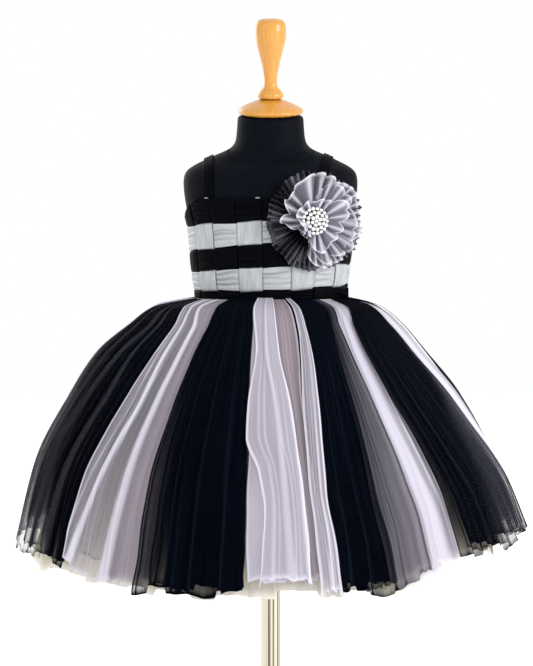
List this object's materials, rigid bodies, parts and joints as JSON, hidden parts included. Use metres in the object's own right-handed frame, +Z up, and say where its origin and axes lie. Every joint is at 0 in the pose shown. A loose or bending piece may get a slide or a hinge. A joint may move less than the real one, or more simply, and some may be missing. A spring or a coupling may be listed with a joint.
{
  "type": "party dress on a dress form",
  "caption": "Child's sleeveless party dress: basket-weave satin bodice, flower corsage and full gored tulle skirt, worn on a limbless dress form with a round base.",
  "frame": {"origin": "centre of the base plate's underside, on the floor under the pole", "axes": "+Z up the pole, -Y out of the dress's front, +X towards the wearer's left"},
  "size_m": [0.6482, 0.6484, 0.9924],
  "materials": {
    "jersey": "matte",
    "wood": "gloss",
    "steel": "polished",
    "black_satin": "satin",
    "grey_satin": "satin",
    "black_tulle": "matte",
    "grey_tulle": "matte",
    "cream_tulle": "matte",
    "zip_enamel": "gloss",
    "pearl": "gloss"
  },
  "bodies": {
    "dress_on_form": {"base_plate": "steel", "pole": "steel", "pole_sleeve": "steel", "form_torso": "jersey", "neck_cap": "wood", "finial": "wood", "bodice_front": "black_satin", "bodice_back_left": "black_satin", "bodice_back_right": "black_satin", "weave_upright_1": "black_satin", "weave_upright_2": "grey_satin", "weave_upright_3": "black_satin", "weave_upright_4": "grey_satin", "weave_upright_5": "black_satin", "weave_upright_6": "grey_satin", "weave_upright_7": "black_satin", "weave_upright_8": "grey_satin", "weave_upright_9": "black_satin", "weave_level_1": "black_satin", "weave_level_2": "grey_satin", "weave_level_3": "black_satin", "weave_level_4": "grey_satin", "waist_ribbon_front": "black_satin", "waist_ribbon_back_left": "black_satin", "waist_ribbon_back_right": "black_satin", "strap_left_shoulder": "black_satin", "strap_right_shoulder": "black_satin", "zip_tape": "black_satin", "zip_slider": "zip_enamel", "skirt_gore_01_black": "black_tulle", "skirt_gore_02_grey": "grey_tulle", "skirt_gore_03_black": "black_tulle", "skirt_gore_04_grey": "grey_tulle", "skirt_gore_05_black": "black_tulle", "skirt_gore_06_grey": "grey_tulle", "skirt_gore_07_black": "black_tulle", "skirt_gore_08_grey": "grey_tulle", "skirt_gore_09_black": "black_tulle", "skirt_gore_10_grey": "grey_tulle", "skirt_gore_11_black": "black_tulle", "skirt_gore_12_grey": "grey_tulle", "skirt_gore_13_black": "black_tulle", "skirt_gore_14_grey": "grey_tulle", "skirt_gore_15_black": "black_tulle", "skirt_gore_16_grey": "grey_tulle", "petticoat_front_right": "cream_tulle", "petticoat_front_left": "cream_tulle", "petticoat_back_left": "cream_tulle", "petticoat_back_right": "cream_tulle", "flower_back_ruffle": "black_tulle", "flower_mid_ruffle": "grey_tulle", "flower_front_ruffle": "grey_tulle", "brooch": "pearl"},
    "zip_pull": {"zip_tab": "zip_enamel"}
  },
  "joints": [
    {"name": "zip_pull_hinge", "type": "hinge", "parent": "dress_on_form", "child": "zip_pull", "pos_m": [0, 0.07839, 0.735], "axis": [1, 0, 0], "range_deg": [0, 150]}
  ]
}
